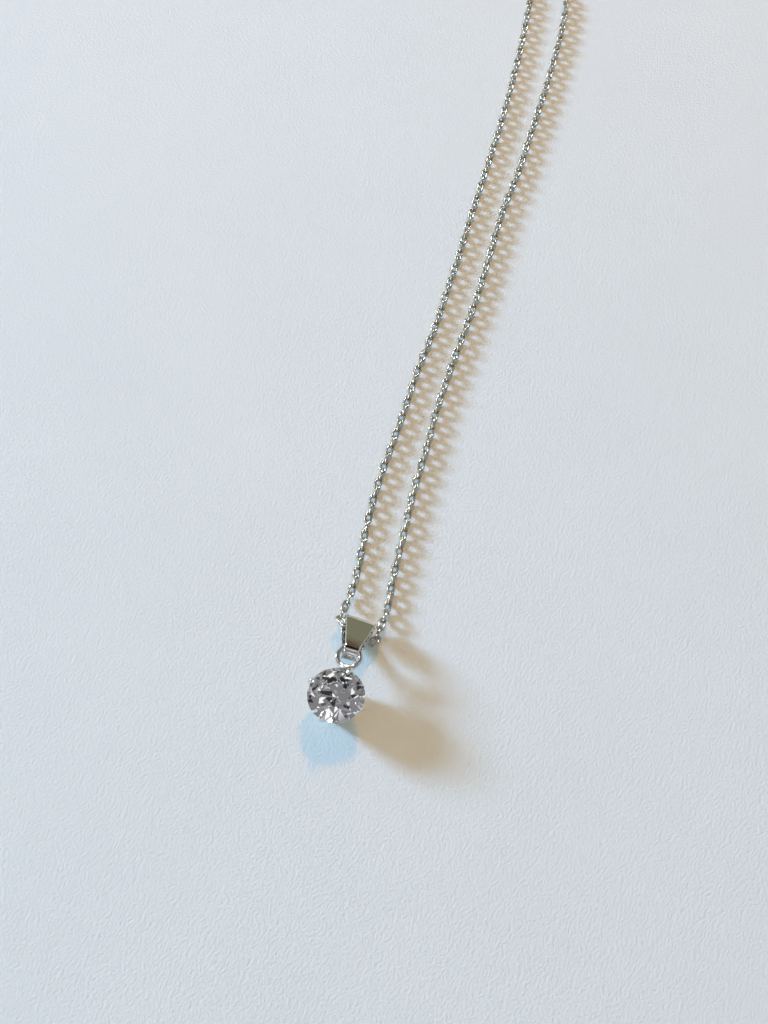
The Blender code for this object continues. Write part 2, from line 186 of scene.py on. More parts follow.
# %% Finish: polished silver
SILVER_LIGHT = (0.80, 0.79, 0.77, 1.0)
SILVER_DULL = (0.70, 0.69, 0.67, 1.0)
SOLDER_TONE = (0.72, 0.66, 0.55, 1.0)
HAIRLINE_SCALE = 2600.0
HAZE_SCALE = 900.0
HAIRLINE_DEPTH = 0.0009 * MM


def hairlines(net, place, scale):
    """Fine crossing scratches, as a height from 0 to 1."""
    one = net.noise(net.stretched(place, (0.4, 0.2, 0.9), (0.08, 1.0, 1.0)), scale, 3.0)
    two = net.noise(net.stretched(place, (1.2, 0.5, -0.6), (1.0, 0.06, 1.0)), scale * 1.4, 3.0)
    return net.ramp(one, (0.42, 0.0), (0.62, 1.0)) * 0.5 + net.ramp(two, (0.45, 0.0), (0.6, 1.0)) * 0.5


def make_silver():
    material, net = new_finish("polished_silver")
    place = net.add("TexCoord", output="Object")
    lines = hairlines(net, place, HAIRLINE_SCALE)
    haze = net.ramp(net.noise(place, HAZE_SCALE, 4.0), (0.35, 0.0), (0.7, 1.0))
    solder = net.add("Attribute", {"attribute_name": "solder"}, output="Fac")
    tone = net.mix(haze * 0.35, SILVER_LIGHT, SILVER_DULL)
    net.finish(
        Base_Color=net.mix(solder * 0.6, tone, SOLDER_TONE),
        Metallic=1.0,
        Roughness=0.05 + haze * 0.06 + lines * 0.05 + solder * 0.12,
        Normal=net.bump(lines, HAIRLINE_DEPTH),
    )
    return material


silver = make_silver()
print("finish:", silver.name)

# %% [markdown]
# ## The chain's silver
# A chain is tumbled, not polished by hand, and it wears where link rubs on link. The outer sides of the
# links stay bright. In the tucked joints, where the links shade each other, the colour is painted
# shade and the metal is made duller. The attribute called tuck says how deep a
# point of a link sits in its joint, and tone varies a little from link to link.

# %% Finish: chain silver
CHAIN_LIGHT = (0.62, 0.60, 0.53, 1.0)
# The colour of the painted shade in the joints where links hold each other.
CHAIN_PAINTED_SHADE = (0.16, 0.15, 0.12, 1.0)
TUMBLE_SCALE = 9000.0
TUMBLE_DEPTH = 0.0012 * MM


def make_chain_silver():
    material, net = new_finish("chain_silver")
    place = net.add("TexCoord", output="Object")
    tuck = net.add("Attribute", {"attribute_name": "tuck"}, output="Fac")
    tone = net.add("Attribute", {"attribute_name": "tone"}, output="Fac")
    pits = net.ramp(net.noise(place, TUMBLE_SCALE, 3.0), (0.4, 0.0), (0.75, 1.0))
    # Noise that makes the painted shade in the joints stronger in some places and weaker in others.
    shade_patchiness = net.noise(place, HAZE_SCALE * 2, 3.0)
    net.finish(
        # Painted shade: the colour goes dark where a link sits in its neighbour's joint.
        Base_Color=net.mix(tuck * (0.45 + shade_patchiness * 0.4), CHAIN_LIGHT, CHAIN_PAINTED_SHADE),
        Metallic=1.0,
        Roughness=0.10 + pits * 0.08 + tuck * 0.25 + tone * 0.08,
        Normal=net.bump(pits, TUMBLE_DEPTH),
    )
    return material


chain_silver = make_chain_silver()
print("finish:", chain_silver.name)

# %% [markdown]
# ## The stone's crystal
# The stone bends light far more than window glass does, and that is what makes it flash: light that
# enters from above is thrown back by the cuts underneath. The facets do the work, so the surface
# itself is almost perfect, with only the faint uneven polish that every facet has.

# %% Finish: clear stone
STONE_IOR = 2.15
POLISH_SCALE = 5000.0


def make_crystal():
    material, net = new_finish("clear_stone")
    place = net.add("TexCoord", output="Object")
    polish = net.noise(net.stretched(place, (0.0, 0.0, 0.5), (0.2, 1.0, 1.0)), POLISH_SCALE, 3.0)
    net.finish(
        Base_Color=(0.985, 0.99, 1.0, 1.0),
        IOR=STONE_IOR,
        Transmission_Weight=1.0,
        Roughness=net.ramp(polish, (0.6, 0.0), (1.0, 0.012)),
        Normal=net.bump(polish, 0.00001 * MM),
    )
    return material


crystal = make_crystal()
print("finish:", crystal.name, "that bends light", STONE_IOR)

# %% [markdown]
# ## Spring steel
# The spring inside the clasp is bare drawn steel: grey, a little blue, with drawing marks along it.

# %% Finish: spring steel
STEEL_LIGHT = (0.56, 0.57, 0.60, 1.0)
STEEL_DARK = (0.30, 0.31, 0.34, 1.0)


def make_spring_steel():
    material, net = new_finish("spring_steel")
    place = net.add("TexCoord", output="Object")
    marks = net.noise(place, TUMBLE_SCALE, 4.0)
    net.finish(
        Base_Color=net.mix(net.ramp(marks, (0.35, 0.0), (0.7, 1.0)), STEEL_LIGHT, STEEL_DARK),
        Metallic=1.0,
        Roughness=0.22 + marks * 0.2,
    )
    return material


spring_steel = make_spring_steel()
print("finish:", spring_steel.name)

# %% [markdown]
# ## A bench of small tools
# Each piece is modelled the way one would do it by hand: a primitive is added, opened in edit mode and
# shaped. An operator acts on everything that is selected, so each job starts by selecting nothing.


# %% Tools for starting and closing a piece
def empty_hands():
    """Nothing is selected, and no object is open."""
    if bpy.context.object and bpy.context.object.mode != "OBJECT":
        bpy.ops.object.mode_set(mode="OBJECT")
    bpy.ops.object.select_all(action="DESELECT")


def take(piece):
    """Only this piece is selected and active."""
    empty_hands()
    piece.select_set(True)
    bpy.context.view_layer.objects.active = piece


def settle(piece):
    """The piece's place goes into its mesh, so that its object sits at the origin."""
    take(piece)
    bpy.ops.object.transform_apply(location=True, rotation=True, scale=True)


def modify(piece, kind, **settings):
    """Add a modifier and apply it."""
    take(piece)
    modifier = piece.modifiers.new(kind.lower(), kind)
    for name, setting in settings.items():
        setattr(modifier, name, setting)
    bpy.ops.object.modifier_apply(modifier=modifier.name)


def face_outwards(piece):
    take(piece)
    bpy.ops.object.mode_set(mode="EDIT")
    bpy.ops.mesh.select_all(action="SELECT")
    bpy.ops.mesh.normals_make_consistent(inside=False)
    bpy.ops.object.mode_set(mode="OBJECT")


SMOOTH_ANGLE = math.radians(38)


def dress(piece, finish, body, slot, *nodes, smooth=SMOOTH_ANGLE):
    """Shade the finished piece, give it its finish, and let it stand for its CAD nodes on their body."""
    take(piece)
    if smooth:
        bpy.ops.object.shade_smooth_by_angle(angle=smooth)
    piece.data.materials.clear()
    piece.data.materials.append(finish)
    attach(piece, body)
    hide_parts(*nodes)
    print(f"{piece.name}: {len(piece.data.polygons)} faces")


print("tools for pieces ready")

# %% [markdown]
# ## Drawing wire
# Claws, springs and bolts are wire. A disc is extruded from station to station along a route, and each
# new rim is set square to the route and given its own radius, so that a claw can taper to a round tip.
# A curve with a bevel would be quicker, but its tip could not be domed and its rims could not be
# reached afterwards.


# %% A wire along a route
def smooth_route(knots, step):
    """Points about every step along a smooth curve through the knots."""
    ends = [2 * knots[0] - knots[1]] + knots + [2 * knots[-1] - knots[-2]]
    fine = []
    for before, start, end, after in zip(ends, ends[1:], ends[2:], ends[3:]):
        reach = (end - start).length / 3
        leave = start + (end - before).normalized() * reach
        arrive = end - (after - start).normalized() * reach
        fine += geometry.interpolate_bezier(start, leave, arrive, end, 40)[:-1]
    fine = np.array([*fine, knots[-1]])
    travelled = np.concatenate([[0], np.cumsum(np.linalg.norm(np.diff(fine, axis=0), axis=1))])
    at = np.linspace(0, travelled[-1], max(2, round(travelled[-1] / step)) + 1)
    return [Vector(point) for point in np.stack([np.interp(at, travelled, axis) for axis in fine.T], axis=1)]


def rim_axes(stations):
    """Two directions square to the route at each station, turned as little as possible on the way."""
    axes = []
    side = (stations[1] - stations[0]).orthogonal().normalized()
    for index in range(len(stations)):
        ahead = (stations[min(index + 1, len(stations) - 1)] - stations[max(index - 1, 0)]).normalized()
        side = (side - ahead * side.dot(ahead)).normalized()
        axes.append((side, ahead.cross(side)))
    return axes


def set_rim(piece, centre, old, new, radius):
    """Turn the selected rim about its centre from its old axes to its new ones, at a radius."""
    work = bmesh.from_edit_mesh(piece.data)
    for vert in work.verts:
        if vert.select:
            away = vert.co - centre
            angle = math.atan2(away.dot(old[1]), away.dot(old[0]))
            vert.co = centre + (new[0] * math.cos(angle) + new[1] * math.sin(angle)) * radius
    bmesh.update_edit_mesh(piece.data)


def draw_wire(name, stations, radii, sides=16, hollow=False):
    """A wire, or with hollow the skin of a tube, through the stations."""
    empty_hands()
    fill = "NOTHING" if hollow else "NGON"
    bpy.ops.mesh.primitive_circle_add(vertices=sides, radius=radii[0], fill_type=fill)
    wire = bpy.context.object
    wire.name = name
    wire.location = stations[0]
    settle(wire)
    axes = rim_axes(stations)
    bpy.ops.object.mode_set(mode="EDIT")
    bpy.ops.mesh.select_all(action="SELECT")
    set_rim(wire, stations[0], (Vector((1, 0, 0)), Vector((0, 1, 0))), axes[0], radii[0])
    for index in range(1, len(stations)):
        move = {"value": stations[index] - stations[index - 1]}
        if hollow:
            bpy.ops.mesh.extrude_edges_move(TRANSFORM_OT_translate=move)
        else:
            bpy.ops.mesh.extrude_region_move(TRANSFORM_OT_translate=move)
        set_rim(wire, stations[index], axes[index - 1], axes[index], radii[index])
    bpy.ops.object.mode_set(mode="OBJECT")
    face_outwards(wire)
    return wire


def add_torus(name, centre, radius, wire, turns=64, sides=16, tilt=(0.0, 0.0, 0.0)):
    """A ring of round wire."""
    empty_hands()
    bpy.ops.mesh.primitive_torus_add(
        location=centre, rotation=tilt, major_radius=radius, minor_radius=wire,
        major_segments=turns, minor_segments=sides,
    )
    ring = bpy.context.object
    ring.name = name
    settle(ring)
    return ring


def solder(piece, spots, reach, swell):
    """Swell the metal softly near each soldered spot, and paint how near it is."""
    mesh = piece.data
    paint = mesh.attributes.new("solder", "FLOAT", "POINT")
    normals = [vert.normal.copy() for vert in mesh.vertices]
    for vert, normal in zip(mesh.vertices, normals):
        near = max(max(0.0, 1 - (vert.co - spot).length / reach) for spot in spots)
        soft = near * near * (3 - 2 * near)
        paint.data[vert.index].value = soft
        vert.co += normal * swell * soft
    mesh.update()


print("wire tools ready")

# %% [markdown]
# ## The chain
# A trace chain is made of oval links of round wire, and each link stands about a quarter turn from
# its neighbours. On a table the links settle with a slight lean, so that from above one link shows its
# oval and the next one its edge, and low light throws the standing ones as a row of saw teeth. The
# route is that of the CAD tubes, but for the turn beside the bail, where the strand lies closer to it.
# It starts at the clasp, comes out of the wound hank, runs down to the bail, through it, and back to
# the end ring.

# %% The chain's route, point by point
CHAIN_Z = 0.5
BEND_ROUTE = (
    (-2.25, 8.6, 0.72), (-2.32, 7.2, 1.15), (-2.3, 6.1, 1.58), (-2.05, 5.45, 1.76),
    (-1.3, 5.2, 1.82), (0.0, 4.95, 1.7), (0.7, 4.5, 1.72), (1.25, 4.15, 1.62),
    (1.75, 4.15, 1.4), (1.98, 4.7, 1.22), (2.02, 5.7, 1.05), (2.08, 7.1, 0.76), (2.1, 8.6, 0.52),
)
LEFT_ROUTE = (
    (-2.35, 12.4), (-2.9, 17.4), (-3.2, 22.6), (-3.15, 28.2), (-3.0, 34.0),
    (-3.0, 40.0), (-2.65, 46.0), (-2.6, 52.5), (-2.6, 59.0), (-2.7, 65.6), (-2.7, 72.6),
    (-2.75, 79.9), (-3.0, 87.4), (-3.4, 95.2), (-4.1, 103.1), (-4.7, 109.3), (-4.93, 113.4), (-4.99, 115.4),
)
RIGHT_ROUTE = (
    (1.6, 13.5), (1.3, 18.6), (0.95, 23.8), (0.9, 29.4), (0.65, 35.0),
    (0.75, 41.0), (1.0, 47.1), (1.2, 53.5), (1.1, 60.0), (1.05, 66.7), (1.45, 73.9),
    (1.5, 81.2), (1.6, 88.7), (1.45, 96.6), (1.0, 104.2), (0.3, 107.3), (-1.4, 109.9),
    (-3.15, 112.0), (-3.85, 114.3),
)
LEFT_TAIL_ROUTE = (
    (-4.95, 130.5, 1.44), (-4.6, 132.3, 1.25), (-4.1, 133.7, 0.95), (-3.75, 134.35, 0.7),
    (-3.3, 135.2), (-2.66, 136.85),
)
RIGHT_TAIL_ROUTE = (
    (-3.75, 131.0, 1.46), (-3.1, 133.0, 1.4), (-1.9, 134.85, 1.0), (-0.6, 135.7, 0.6),
    (1.0, 136.6), (2.5, 137.9),
)
BAIL_CENTRE = Vector((0.0, 5.0, 1.62)) * MM


def knots_of(route):
    """A route in metres. A point with no height lies at the chain's own."""
    return [Vector((x, y, *height, CHAIN_Z)[:3]) * MM for x, y, *height in route]


print("points by hand:", len(BEND_ROUTE + LEFT_ROUTE + RIGHT_ROUTE + LEFT_TAIL_ROUTE + RIGHT_TAIL_ROUTE))

# %% [markdown]
# The rest of the chain is wound away past the edge of the view, both strands side by side, as a slim
# hank. The strands spiral in on the table, climb half way, and spiral out again on top, so no turn
# meets another. One loop works out the points: a turn is two straights and two round ends, and the
# distance from the middle line shrinks by one pitch in each turn.

# %% The hank, worked out by a loop
HANK_MIDDLE = -0.1 * MM
HANK_NEAR, HANK_FAR = 117.2 * MM, 129.0 * MM  # centres of the round ends
HANK_START = {"left": 4.9 * MM, "right": 3.9 * MM}  # from the middle line, where each strand enters
HANK_PITCH = 2.0 * MM
HANK_MEAN = 3.9 * MM  # mean radius of the round ends
HANK_LOW, HANK_HIGH = 0.5 * MM, 1.46 * MM
HANK_KNOTS = 18  # in one turn
HANK_STRAIGHT = HANK_FAR - HANK_NEAR
HANK_TURN = 2 * HANK_STRAIGHT + math.tau * HANK_MEAN
HANK_TURNS = 2 + HANK_STRAIGHT / HANK_TURN  # so that both strands leave where the far end begins


def hank_point(turns, radius, height):
    """A point of the winding, clockwise from where the left straight begins."""
    travelled = turns % 1 * HANK_TURN
    half = HANK_STRAIGHT + math.pi * HANK_MEAN
    if travelled < HANK_STRAIGHT:
        centre, angle = HANK_NEAR + travelled, math.pi
    elif travelled < half:
        centre, angle = HANK_FAR, math.pi - (travelled - HANK_STRAIGHT) / HANK_MEAN
    elif travelled < half + HANK_STRAIGHT:
        centre, angle = HANK_FAR - (travelled - half), 0.0
    else:
        centre, angle = HANK_NEAR, -(travelled - half - HANK_STRAIGHT) / HANK_MEAN
    return Vector((HANK_MIDDLE + radius * math.cos(angle), centre + radius * math.sin(angle), height))


def hank_knots(side):
    """Points of one strand's turns, from where it enters to where it leaves, both heading along +Y."""
    knots = []
    count = round(HANK_TURNS * HANK_KNOTS)
    for number in range(count + 1):
        turns = HANK_TURNS * number / count
        radius = HANK_START[side] - HANK_PITCH * min(turns, HANK_TURNS - turns)
        climb = min(1.0, max(0.0, 0.5 + (turns - HANK_TURNS / 2) * 2.5))
        height = HANK_LOW + (HANK_HIGH - HANK_LOW) * climb * climb * (3 - 2 * climb)
        knots.append(hank_point(turns, radius, height))
    return knots


left_knots = knots_of(BEND_ROUTE[5::-1] + LEFT_ROUTE) + hank_knots("left") + knots_of(LEFT_TAIL_ROUTE)
right_knots = knots_of(BEND_ROUTE[5:] + RIGHT_ROUTE) + hank_knots("right") + knots_of(RIGHT_TAIL_ROUTE)
ROUTE_STEP = 0.2 * MM
chain_line = np.array(smooth_route(left_knots[::-1] + right_knots[1:], ROUTE_STEP))
chain_along = np.concatenate([[0], np.cumsum(np.linalg.norm(np.diff(chain_line, axis=0), axis=1))])
print("whole chain in mm:", round(chain_along[-1] / MM, 1))

# %% [markdown]
# One link is modelled once. It starts as a torus with few segments, because a few hundred copies of it
# are needed, and its two halves are pulled apart so that the ring becomes an oval.

# %% One link
LINK_WIRE = 0.155 * MM
LINK_HALF_WIDTH = 0.32 * MM  # to the middle of the wire
LINK_PITCH = 1.15 * MM
LINK_PLAY = 0.03 * MM


def model_link(name, half_width, wire, pitch):
    """An oval link in the XY plane, its length along X."""
    link = add_torus(name, (0, 0, 0), half_width, wire, turns=12, sides=6)
    pull = pitch / 2 + LINK_PLAY + wire - half_width
    bpy.ops.object.mode_set(mode="EDIT")
    for side in (-1, 1):
        work = bmesh.from_edit_mesh(link.data)
        for face in work.faces:
            face.select_set(False)
        for vert in work.verts:
            vert.select_set(vert.co.x * side > 0.2 * half_width)
        bmesh.update_edit_mesh(link.data)
        bpy.ops.transform.translate(value=(side * pull, 0, 0))
    bpy.ops.object.mode_set(mode="OBJECT")
    return link


link = model_link("link", LINK_HALF_WIDTH, LINK_WIRE, LINK_PITCH)
link_points = np.array([vert.co for vert in link.data.vertices])
link_faces = [tuple(face.vertices) for face in link.data.polygons]
link_size = [round(float(side) / MM, 2) for side in np.ptp(link_points, axis=0)]
print("one link:", len(link_faces), "faces,", link_size, "mm")

# %% [markdown]
# The copies are laid along the route with a loop. Each one is turned to the route's direction, rolled to
# the left or right, and shaken by up to seven degrees, because no real chain lies perfectly. Where a link
# holds its neighbour the attribute tuck is painted, which the finish turns into
# painted shade and duller metal.

# %% Laying the links
LINK_ROLLS = math.radians(18), math.radians(-72)  # a lying link, then a standing one
ROLL_SHAKE = math.radians(7)
TUCK_REACH = 2.2  # how far the dark of a held spot spreads, in wire radii
END_LINK_SWELL = 1.3  # the last link at the end ring is wider, because its ring is thick
link_count = round(chain_along[-1] / LINK_PITCH) + 1
link_at = np.linspace(0, chain_along[-1], link_count)
bail_at = chain_along[np.argmin(np.linalg.norm(chain_line - np.array(BAIL_CENTRE), axis=1))]
shake = np.random.default_rng(11)


def point_at(distance):
    return Vector([np.interp(distance, chain_along, axis) for axis in chain_line.T])


def link_frame(number):
    """The place of one link: its length along the route, rolled about it."""
    centre = point_at(link_at[number])
    half_step = LINK_PITCH / 2
    ahead = (point_at(link_at[number] + half_step) - point_at(link_at[number] - half_step)).normalized()
    level = Vector((0, 0, 1)).cross(ahead).normalized()
    roll = LINK_ROLLS[number % 2] + shake.uniform(-ROLL_SHAKE, ROLL_SHAKE)
    if link_at[number] <= bail_at:  # the left strand is laid the other way, so its lean turns over
        roll = -roll
    turn = Matrix.Rotation(roll, 3, ahead) @ Matrix((ahead, level, ahead.cross(level))).transposed()
    return centre, turn


def lay_links(name, numbers):
    """One strand of the chain as one mesh."""
    points, faces, tuck, tone = [], [], [], []
    half_length = np.abs(link_points[:, 0]).max()
    for number in numbers:
        centre, turn = link_frame(number)
        swell = END_LINK_SWELL if number == link_count - 1 else 1.0
        start = len(points) * len(link_points)
        stretched = link_points * np.array((1.0, swell, swell))
        points.append(stretched @ np.array(turn).T + np.array(centre))
        faces += [tuple(start + corner for corner in face) for face in link_faces]
        # How deep each point sits in a joint, which the finish paints as shade and as duller metal.
        from_crown = np.abs(np.abs(link_points[:, 0]) - half_length + LINK_WIRE)
        inner = np.clip(1 - from_crown / (TUCK_REACH * LINK_WIRE), 0, 1)
        tuck.append(inner)
        tone.append(np.full(len(link_points), shake.random()))
    mesh = bpy.data.meshes.new(name)
    mesh.from_pydata(np.concatenate(points).tolist(), [], faces)
    for label, values in (("tuck", tuck), ("tone", tone)):
        mesh.attributes.new(label, "FLOAT", "POINT").data.foreach_set("value", np.concatenate(values))
    strand = bpy.data.objects.new(name, mesh)
    bpy.context.scene.collection.objects.link(strand)
    return strand


left_numbers = [number for number in range(link_count) if link_at[number] <= bail_at]
right_numbers = range(len(left_numbers), link_count)
chain_left = lay_links("chain_left_links", left_numbers)
chain_right = lay_links("chain_right_links", right_numbers)
bpy.data.objects.remove(link)
dress(chain_left, chain_silver, "chain", "chain_silver", "chain_bend", "chain_left", "chain_left_tail",
      "chain_coil", smooth=math.pi)
dress(chain_right, chain_silver, "chain", "chain_silver", "chain_right", "chain_right_tail", smooth=math.pi)
print("links:", link_count, "at a pitch of", round(link_at[1] / MM, 4), "mm")

# %% [markdown]
# ## The stone
# A round brilliant has 57 facets, and 58 where the point below is cut off, as here. Every one is a
# flat cut at its own angle. So it is made like the
# real one: a short cylinder is cut by planes, first the eight main facets above and below, then the
# table, the stars and the halves. Bisect with fill does one cut and closes it. Its threshold has to
# be far smaller than the stone.

# %% Cutting the stone
STONE_RADIUS = 3.0 * MM
GIRDLE_Z = 3.1 * MM
GIRDLE_HEIGHT = 0.15 * MM
TABLE_RATIO = 0.57
CROWN_TILT, STAR_TILT, UPPER_HALF_TILT = 34.5, 21.0, 40.5  # degrees from flat
PAVILION_TILT, LOWER_HALF_TILT = -40.75, -42.2  # downwards
FLAT_UP, FLAT_DOWN = 0.0, -0.0  # the sign of a tilt says whether its facet faces up or down
CULET_CUT = 0.03 * MM
HEAD_CENTRE = Vector((0.0, -3.17, 0.0)) * MM
HEAD_TWIST = math.radians(-13)
EIGHTH = math.tau / 8


def cut_facet(turn, tilt, reach, height):
    """Grind one facet: a plane through a point at this reach and height, tilted from flat."""
    outward = Vector((math.cos(turn + HEAD_TWIST), math.sin(turn + HEAD_TWIST), 0))
    slope = math.radians(abs(tilt))
    normal = outward * math.sin(slope) + Vector((0, 0, math.copysign(math.cos(slope), tilt)))
    point = HEAD_CENTRE + outward * reach + Vector((0, 0, height))
    bpy.ops.mesh.select_all(action="SELECT")
    bpy.ops.mesh.bisect(plane_co=point, plane_no=normal, use_fill=True, clear_outer=True, threshold=1e-8)


def cut_stone():
    empty_hands()
    bpy.ops.mesh.primitive_cylinder_add(
        vertices=96, radius=STONE_RADIUS, depth=4 * STONE_RADIUS,
        location=HEAD_CENTRE + Vector((0, 0, GIRDLE_Z)), rotation=(0, 0, HEAD_TWIST),
    )
    stone = bpy.context.object
    stone.name = "cut_stone"
    settle(stone)
    top, bottom = GIRDLE_Z + GIRDLE_HEIGHT / 2, GIRDLE_Z - GIRDLE_HEIGHT / 2
    table = top + (1 - TABLE_RATIO) * STONE_RADIUS * math.tan(math.radians(CROWN_TILT))
    star_reach = TABLE_RATIO * STONE_RADIUS * math.cos(EIGHTH / 2)
    bpy.ops.object.mode_set(mode="EDIT")
    for number in range(8):
        cut_facet(number * EIGHTH, CROWN_TILT, STONE_RADIUS, top)
        cut_facet(number * EIGHTH, PAVILION_TILT, STONE_RADIUS, bottom)
    cut_facet(0, FLAT_UP, 0, table)
    for number in range(8):
        cut_facet((number + 0.5) * EIGHTH, STAR_TILT, star_reach, table)
        for side in (0.25, 0.75):
            cut_facet((number + side) * EIGHTH, UPPER_HALF_TILT, STONE_RADIUS, top)
            cut_facet((number + side) * EIGHTH, LOWER_HALF_TILT, STONE_RADIUS, bottom)
    depth = STONE_RADIUS * math.tan(math.radians(-PAVILION_TILT))
    cut_facet(0, FLAT_DOWN, 0, bottom - depth + CULET_CUT)
    bpy.ops.object.mode_set(mode="OBJECT")
    return stone


stone = cut_stone()
face_outwards(stone)
dress(stone, crystal, "head", "clear_stone", "stone", smooth=None)
print("facets and girdle faces:", len(stone.data.polygons))

# %% [markdown]
# ## The basket
# Four claws rise from two rings and are bent over the stone's edge. Each claw has a notch, cut with a
# burr, in which the edge of the stone sits. A slightly grown copy of the stone is the cutter here, so
# that the notch fits. The tips are rounded with a cup burr, which is the dome at the end of each
# wire. The rings are turned, and the metal is drawn up softly where the solder holds a claw.

# %% Claws
PRONG_RADIUS = 0.36 * MM
PRONG_ROUTE = (
    (1.49, 0.04), (1.5, 0.3), (1.75, 0.85), (2.25, 1.74), (2.84, 2.8),
    (3.0, 3.25), (2.95, 3.6), (2.7, 3.84), (2.42, 3.95),
)
PRONG_STEP = 0.16 * MM
TAPER_FROM = 0.7
TIP_SHARE = 0.66  # radius before the dome as a share of the wire's
DOME_STEPS = 5
SEAT_GROW = 1.006
SIDES_OF_HEAD = ("east", "north", "west", "south")


def claw_stations(turn):
    """Points of one claw and its radius at each, with the dome at the tip."""
    rotate = Matrix.Rotation(turn + HEAD_TWIST, 3, "Z")
    knots = [HEAD_CENTRE + rotate @ Vector((reach, 0, height)) * MM for reach, height in PRONG_ROUTE]
    stations = smooth_route(knots, PRONG_STEP)
    radii = []
    for index in range(len(stations)):
        beyond = max(0.0, index / (len(stations) - 1) - TAPER_FROM) / (1 - TAPER_FROM)
        radii.append(PRONG_RADIUS * (1 - (1 - TIP_SHARE) * beyond**2))
    ahead = (stations[-1] - stations[-2]).normalized()
    end, tip = stations[-1], radii[-1]
    for step in range(1, DOME_STEPS + 1):
        swing = math.pi / 2 * step / (DOME_STEPS + 0.3)
        stations.append(end + ahead * tip * 0.8 * math.sin(swing))
        radii.append(tip * math.cos(swing))
    return stations, radii


def grown_stone():
    """A copy of the stone, a hair larger, that cuts the seats."""
    burr = stone.copy()
    burr.data = stone.data.copy()
    burr.parent = None
    bpy.context.scene.collection.objects.link(burr)
    middle = HEAD_CENTRE + Vector((0, 0, GIRDLE_Z))
    burr.data.transform(Matrix.Translation(middle) @ Matrix.Scale(SEAT_GROW, 4) @ Matrix.Translation(-middle))
    return burr


burr = grown_stone()
for number, side in enumerate(SIDES_OF_HEAD):
    stations, radii = claw_stations(number * math.tau / 4)
    claw = draw_wire("claw_" + side, stations, radii, sides=20)
    solder(claw, [stations[2], stations[8]], 0.9 * MM, 0.02 * MM)
    modify(claw, "BOOLEAN", object=burr, operation="DIFFERENCE", solver="EXACT")
    dress(claw, silver, "head", "polished_silver", "prong_" + side)
bpy.data.objects.remove(burr)

# %% The two rings of the basket
BASE_RING = (1.0, 1.72, 0.0, 0.72)  # inner and outer radius, low and high side, in millimetres
GALLERY_RING = (1.34, 2.0, 1.08, 1.5)
SECTION_POWER = 0.45  # under 1 makes the round section squarer
RING_SOLDER = 0.16 * MM


def turn_ring(name, size, claw_reach):
    """A ring with a softly squared section, swollen where it meets the claws."""
    inner, outer, low, high = (x * MM for x in size)
    half_width, half_height = (outer - inner) / 2, (high - low) / 2
    centre = HEAD_CENTRE + Vector((0, 0, (low + high) / 2))
    ring = add_torus(name, centre, (inner + outer) / 2, half_height, turns=120, sides=24)
    for vert in ring.data.vertices:
        away = vert.co - centre
        outward = Vector((away.x, away.y, 0)).normalized()
        across = away.dot(outward) - (inner + outer) / 2
        share = Vector((across, away.z)) / half_height
        squared = [math.copysign(abs(part) ** SECTION_POWER, part) for part in share]
        reach = (inner + outer) / 2 + half_width * squared[0]
        vert.co = centre + outward * reach + Vector((0, 0, half_height * squared[1]))
    ring.data.update()
    spots = []
    for number in range(4):
        turn = number * math.tau / 4 + HEAD_TWIST
        spots.append(centre + Vector((math.cos(turn), math.sin(turn), 0)) * claw_reach)
    solder(ring, spots, 0.75 * MM, RING_SOLDER)
    for vert in ring.data.vertices:
        vert.co.z = max(vert.co.z, low)
    return ring


base_ring = turn_ring("basket_base", BASE_RING, 1.6 * MM)
dress(base_ring, silver, "head", "polished_silver", "base_ring")
gallery_ring = turn_ring("basket_gallery", GALLERY_RING, 1.95 * MM)
dress(gallery_ring, silver, "head", "polished_silver", "gallery_ring")

# %% The loop behind the stone
LOOP_RADIUS = 1.23 * MM
LOOP_WIRE = 0.27 * MM
LOOP_CENTRE = HEAD_CENTRE + Vector((0.0, 4.64, 2.6)) * MM
loop = add_torus("bail_loop", LOOP_CENTRE, LOOP_RADIUS, LOOP_WIRE, turns=96, sides=20)
solder(loop, [LOOP_CENTRE + Vector((0.1 * MM, -LOOP_RADIUS, 0))], 1.0 * MM, 0.12 * MM)
dress(loop, silver, "head", "polished_silver", "head_loop")

# %% [markdown]
# ## The bail
# The bail is one strip of silver, wide where it takes the chain and narrow where it takes the loop,
# bent into a closed drop and soldered behind. A ring of points is laid on the drop's outline and
# extruded sideways into a band. The band is squeezed to the strip's outline, crowned a little across
# its width, and then given its wall by Solidify and its rounded edges by Bevel.

# %% The bail's strip
BAIL_WALL = 0.3 * MM
BAIL_TOP_BEND = 1.3 * MM  # outer radius round the chain
BAIL_LOW_BEND = 1.0 * MM  # outer radius round the loop
BAIL_SIDE = ((1.4, 1.80), (-2.0, 1.18), (-2.7, 0.90), (-3.7, 0.80))  # along it, half width
BAIL_SIDE_SOFT = 0.35 * MM  # the corners of that outline are rounded over this length
BAIL_ROLL = math.radians(10)
BAIL_CROWN = 0.02 * MM
BAIL_BULGE = 0.17 * MM  # how far the front is sprung outwards along its length
BAIL_REACH = 0.75 * MM  # how far the strip runs on past the loop's wire
BAIL_TURN = math.radians(4)  # about the table's upright, from lying unevenly
BAIL_EDGE = 0.07 * MM
BAIL_LOW_CENTRE = LOOP_CENTRE + Vector((0, LOOP_RADIUS, 0))
BAND_STRIPS = 10


def half_width_at(along):
    """The strip's half width at a distance from the top bend's centre."""
    places = [place * MM for place, _ in BAIL_SIDE[::-1]]
    halves = [half * MM for _, half in BAIL_SIDE[::-1]]
    around = along + np.linspace(-BAIL_SIDE_SOFT, BAIL_SIDE_SOFT, 7)
    return float(np.interp(around, places, halves).mean())


